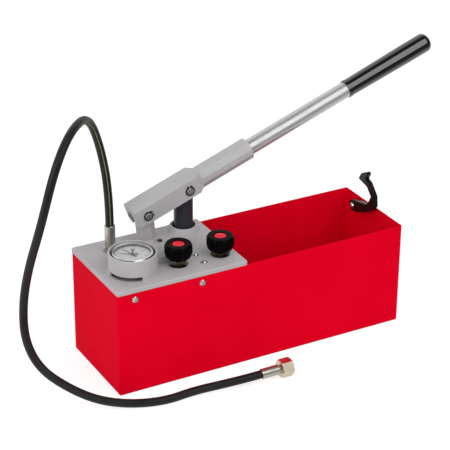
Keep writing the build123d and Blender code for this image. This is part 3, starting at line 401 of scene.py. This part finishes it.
def hoseRubber():
    finish, nodes, links, shader = newFinish("hoseRubber")
    space = patternSpace(nodes, links)
    cloth = grain(nodes, links, space, coverSettings["clothSize"], detail=4,
                  roughness=coverSettings["clothRoughness"])
    clouds = grain(nodes, links, space, coverSettings["cloudSize"], detail=3)
    rubber = shades(nodes, links, clouds, coverSettings["dark"], coverSettings["light"])
    around = nodes.new("ShaderNodeSeparateXYZ")
    links.new(patternSpace(nodes, links, source="UV"), around.inputs["Vector"])
    nearLine = nodes.new("ShaderNodeMath")
    nearLine.operation = "COMPARE"
    nearLine.inputs[1].default_value = coverSettings["lineTurnShare"]
    nearLine.inputs[2].default_value = coverSettings["lineWidthShare"]
    links.new(around.outputs["Y"], nearLine.inputs[0])  # Y runs round the hose
    worn = spread(nodes, links, cloth, *coverSettings["lineWorn"])
    onLine = nodes.new("ShaderNodeMath")
    onLine.operation = "MULTIPLY"
    links.new(nearLine.outputs[0], onLine.inputs[0])
    links.new(worn, onLine.inputs[1])
    cover = nodes.new("ShaderNodeMix")
    cover.data_type = "RGBA"
    links.new(onLine.outputs[0], cover.inputs["Factor"])
    links.new(rubber, cover.inputs["A"])
    cover.inputs["B"].default_value = coverSettings["lineColour"]
    links.new(cover.outputs["Result"], shader.inputs["Base Color"])
    links.new(spread(nodes, links, clouds, *coverSettings["rough"]), shader.inputs["Roughness"])
    skin = relief(nodes, links, cloth, coverSettings["clothStrength"], coverSettings["clothDepth"])
    links.new(skin, shader.inputs["Normal"])
    shader.inputs["Specular IOR Level"].default_value = coverSettings["gloss"]
    return finish


pressureHose.data.materials.append(hoseRubber())


def dressNodes():
    for part in frame["record"]["subparts"]:
        finish = finishes.get(part["material_slot"])
        if finish is None:  # the hose has its own piece and cover
            continue
        for materialSlot in cadNodes[part["node"]].material_slots:
            materialSlot.material = finish


dressNodes()
print("finishes ready")


# Printed marks on the dial: sixty short divisions, a longer one at each ten, plain numbers
dialSettings = {
    "centre": (-0.1919, -0.0289),  # X and Y
    "height": 0.19621,
    "zeroAngle": 104.0,  # degrees from the X axis
    "sweep": 270.0,  # clockwise
    "divisions": 60,
    "numberEvery": 10,
    "outerRadius": 0.0262,
    "shortMark": (0.0017, 0.00022),  # length and width
    "longMark": (0.0034, 0.00045),
    "numberRadius": 0.0193,
    "numberSize": 0.0046,
    "thickness": 0.00003,
}


def makeMark(name, size):
    bpy.ops.object.select_all(action="DESELECT")
    bpy.ops.mesh.primitive_plane_add(size=1, location=(0, 0, 0))
    mark = bpy.context.object
    mark.name = name
    bpy.ops.object.mode_set(mode="EDIT")
    bpy.ops.mesh.select_all(action="SELECT")
    bpy.ops.transform.resize(value=(*size, 1))
    bpy.ops.transform.translate(value=(-size[0] / 2, 0, 0))
    rise = (0, 0, dialSettings["thickness"])
    bpy.ops.mesh.extrude_region_move(TRANSFORM_OT_translate={"value": rise})
    bpy.ops.mesh.select_all(action="SELECT")
    bpy.ops.mesh.normals_make_consistent(inside=False)
    bpy.ops.object.mode_set(mode="OBJECT")
    return mark


def putOnDial(mark, radius, angle, turn):
    middle = dialSettings["centre"]
    across = middle[0] + radius * math.cos(angle)
    along = middle[1] + radius * math.sin(angle)
    mark.location = (across, along, dialSettings["height"])
    mark.rotation_euler = (0, 0, turn)


def markAngle(index):
    share = index / dialSettings["divisions"]
    return math.radians(dialSettings["zeroAngle"] - dialSettings["sweep"] * share)


def makeNumber(text, angle):
    bpy.ops.object.select_all(action="DESELECT")
    bpy.ops.object.text_add(location=(0, 0, 0))
    number = bpy.context.object
    number.data.body = text
    number.data.size = dialSettings["numberSize"]
    number.data.align_x = "CENTER"
    number.data.align_y = "CENTER"
    number.data.extrude = dialSettings["thickness"] / 2
    bpy.ops.object.convert(target="MESH")
    number = bpy.context.object
    upright = math.radians(dialSettings["zeroAngle"] - dialSettings["sweep"] / 2 - 90)
    putOnDial(number, dialSettings["numberRadius"], angle, upright)
    return number


def addDialMarks():
    short = makeMark("shortMark", dialSettings["shortMark"])
    long = makeMark("longMark", dialSettings["longMark"])
    marks = []
    for index in range(dialSettings["divisions"] + 1):
        angle = markAngle(index)
        numbered = index % dialSettings["numberEvery"] == 0
        mark = (long if numbered else short).copy()
        mark.data = mark.data.copy()
        bpy.context.scene.collection.objects.link(mark)
        putOnDial(mark, dialSettings["outerRadius"], angle, angle)
        marks.append(mark)
        if numbered:
            marks.append(makeNumber(str(index), angle))
    for pattern in (short, long):
        bpy.data.objects.remove(pattern)
    bpy.ops.object.select_all(action="DESELECT")
    for mark in marks:
        mark.select_set(True)
    bpy.context.view_layer.objects.active = marks[0]
    bpy.ops.object.join()
    bpy.ops.object.transform_apply(location=True, rotation=True, scale=True)
    dialMarks = bpy.context.object
    dialMarks.name = "dialMarks"
    dialMarks.data.materials.clear()
    dialMarks.data.materials.append(finishes["pointer"])
    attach(dialMarks, "pump")


addDialMarks()
print("dial marked")


# Thread inside the union nut: a flattened six-sided ridge wound round the nut's axis
threadSettings = {
    "centre": (-0.139, 0.0126),  # Y and Z of the nut's axis
    "start": 0.0029,  # along X
    "radius": 0.00935,
    "pitch": 0.0018,
    "turns": 3,
    "ridge": 0.00055,
    "ridgeSides": 6,
    "ridgeSquash": (1.25, 0.8, 1),
    "stepsATurn": 36,
    "weldDistance": 0.000001,
    "smoothAngle": 50,
}


def addUnionThread():
    bpy.ops.object.select_all(action="DESELECT")
    bpy.ops.mesh.primitive_circle_add(vertices=threadSettings["ridgeSides"], radius=threadSettings["ridge"],
                                      fill_type="NOTHING",
                                      location=(threadSettings["start"], threadSettings["radius"], 0))
    thread = bpy.context.object
    thread.name = "unionThread"
    bpy.ops.object.mode_set(mode="EDIT")
    bpy.ops.mesh.select_all(action="SELECT")
    bpy.ops.transform.resize(value=threadSettings["ridgeSquash"])
    bpy.ops.object.mode_set(mode="OBJECT")
    bpy.ops.object.transform_apply(location=True, rotation=True, scale=True)
    coil = thread.modifiers.new("coil", "SCREW")
    coil.axis = "X"
    coil.angle = math.radians(360)
    coil.screw_offset = threadSettings["pitch"]
    coil.iterations = threadSettings["turns"]
    coil.steps = threadSettings["stepsATurn"]
    coil.render_steps = threadSettings["stepsATurn"]
    bpy.ops.object.modifier_apply(modifier="coil")
    bpy.ops.object.mode_set(mode="EDIT")
    bpy.ops.mesh.select_all(action="SELECT")
    bpy.ops.mesh.remove_doubles(threshold=threadSettings["weldDistance"])
    bpy.ops.mesh.select_all(action="DESELECT")
    bpy.ops.mesh.select_non_manifold()
    bpy.ops.mesh.fill()  # closes both ends
    bpy.ops.mesh.select_all(action="SELECT")
    bpy.ops.mesh.normals_make_consistent(inside=False)
    bpy.ops.object.mode_set(mode="OBJECT")
    thread.location = (0, *threadSettings["centre"])
    bpy.ops.object.transform_apply(location=True, rotation=True, scale=True)
    bpy.ops.object.shade_smooth_by_angle(angle=math.radians(threadSettings["smoothAngle"]))
    thread.data.materials.append(finishes["union"])
    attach(thread, "union_nut")


addUnionThread()
print("union threaded")


# Plain floor and soft light; shiny surfaces see both dimmer on the near side, which is the camera's
studioSettings = {
    "floorHalf": 6.0,
    "floorDrop": 0.0002,
    "floorColour": 0.60,  # for soft light
    "floorSeenColour": 0.30,  # for the camera, with the glow added
    "floorGlow": 0.78,
    "floorNearShine": 0.1,
    "floorFarShine": 1.0,
    "floorShineFrom": (-0.7, 0.0),
    "worldLight": 0.72,
    "worldNearShine": 0.05,
    "worldFarShine": 1.0,
    "worldShineFrom": (0.15, 0.6),
    "lampAim": (0, 0, 0.15),
    "key": {"place": (0.50, -1.50, 1.70), "size": (1.5, 2.1), "power": 19},
    "fill": {"place": (-2.3, -0.9, 1.3), "size": (1.4, 1.4), "power": 27},
}


def highest(nodes, links, first, second):
    pick = nodes.new("ShaderNodeMath")
    pick.operation = "MAXIMUM"
    links.new(first, pick.inputs[0])
    links.new(second, pick.inputs[1])
    return pick.outputs[0]


def blended(nodes, links, share, first, second):
    blend = nodes.new("ShaderNodeMix")
    links.new(share, blend.inputs["Factor"])
    links.new(first, blend.inputs["A"])
    links.new(second, blend.inputs["B"])
    return blend.outputs["Result"]


def switched(nodes, links, share, whenOff, whenOn):
    return spread(nodes, links, share, whenOff, whenOn, fromLow=0, fromHigh=1)


# Near white where the camera sees it, and plain grey for the soft light that it gives back
def floorFinish():
    finish = bpy.data.materials.new("studioFloor")
    finish.use_nodes = True
    nodes = finish.node_tree.nodes
    links = finish.node_tree.links
    nodes.clear()
    path = nodes.new("ShaderNodeLightPath")
    parts = nodes.new("ShaderNodeSeparateXYZ")
    links.new(patternSpace(nodes, links), parts.inputs["Vector"])
    shine = spread(nodes, links, parts.outputs["Y"], studioSettings["floorNearShine"],
                   studioSettings["floorFarShine"], *studioSettings["floorShineFrom"])
    straight = highest(nodes, links, path.outputs["Is Camera Ray"], path.outputs["Is Transmission Ray"])
    level = blended(nodes, links, path.outputs["Is Glossy Ray"], straight, shine)
    seen = highest(nodes, links, straight, path.outputs["Is Glossy Ray"])
    plain = switched(nodes, links, seen, studioSettings["floorColour"], 0)
    white = switched(nodes, links, level, 0, studioSettings["floorSeenColour"])
    diffuse = nodes.new("ShaderNodeBsdfDiffuse")
    links.new(blended(nodes, links, seen, plain, white), diffuse.inputs["Color"])
    glow = nodes.new("ShaderNodeEmission")
    links.new(switched(nodes, links, level, 0, studioSettings["floorGlow"]), glow.inputs["Strength"])
    both = nodes.new("ShaderNodeAddShader")
    links.new(diffuse.outputs[0], both.inputs[0])
    links.new(glow.outputs[0], both.inputs[1])
    output = nodes.new("ShaderNodeOutputMaterial")
    links.new(both.outputs[0], output.inputs["Surface"])
    return finish


def addFloor():
    bpy.ops.object.select_all(action="DESELECT")
    bpy.ops.mesh.primitive_plane_add(size=2 * studioSettings["floorHalf"],
                                     location=(0, 0, -studioSettings["floorDrop"]))
    floor = bpy.context.object
    floor.name = "studioFloor"
    floor.data.materials.append(floorFinish())


def addWorld():
    world = bpy.data.worlds.new("studioWorld")
    world.use_nodes = True
    nodes = world.node_tree.nodes
    links = world.node_tree.links
    background = nodes["Background"]
    background.inputs["Color"].default_value = (1, 1, 1, 1)
    path = nodes.new("ShaderNodeLightPath")
    direction = nodes.new("ShaderNodeTexCoord")
    parts = nodes.new("ShaderNodeSeparateXYZ")
    links.new(direction.outputs["Generated"], parts.inputs["Vector"])
    shine = spread(nodes, links, parts.outputs["Y"], studioSettings["worldNearShine"],
                   studioSettings["worldFarShine"], *studioSettings["worldShineFrom"])
    straight = highest(nodes, links, path.outputs["Is Camera Ray"], path.outputs["Is Transmission Ray"])
    soft = switched(nodes, links, straight, studioSettings["worldLight"], 1)
    level = blended(nodes, links, path.outputs["Is Glossy Ray"], soft, shine)
    links.new(level, background.inputs["Strength"])
    bpy.context.scene.world = world


def addLamp(name):
    settings = studioSettings[name]
    data = bpy.data.lights.new(name + "Lamp", "AREA")
    data.shape = "RECTANGLE"
    data.size, data.size_y = settings["size"]
    data.energy = settings["power"]
    lamp = bpy.data.objects.new(name + "Lamp", data)
    bpy.context.scene.collection.objects.link(lamp)
    place = Vector(settings["place"])
    lamp.location = place
    aim = Vector(studioSettings["lampAim"]) - place
    lamp.rotation_euler = aim.to_track_quat("-Z", "Y").to_euler()


addFloor()
addWorld()
for lampName in ("key", "fill"):
    addLamp(lampName)
print("studio ready")


def writeSizes():
    import json


writeSizes()
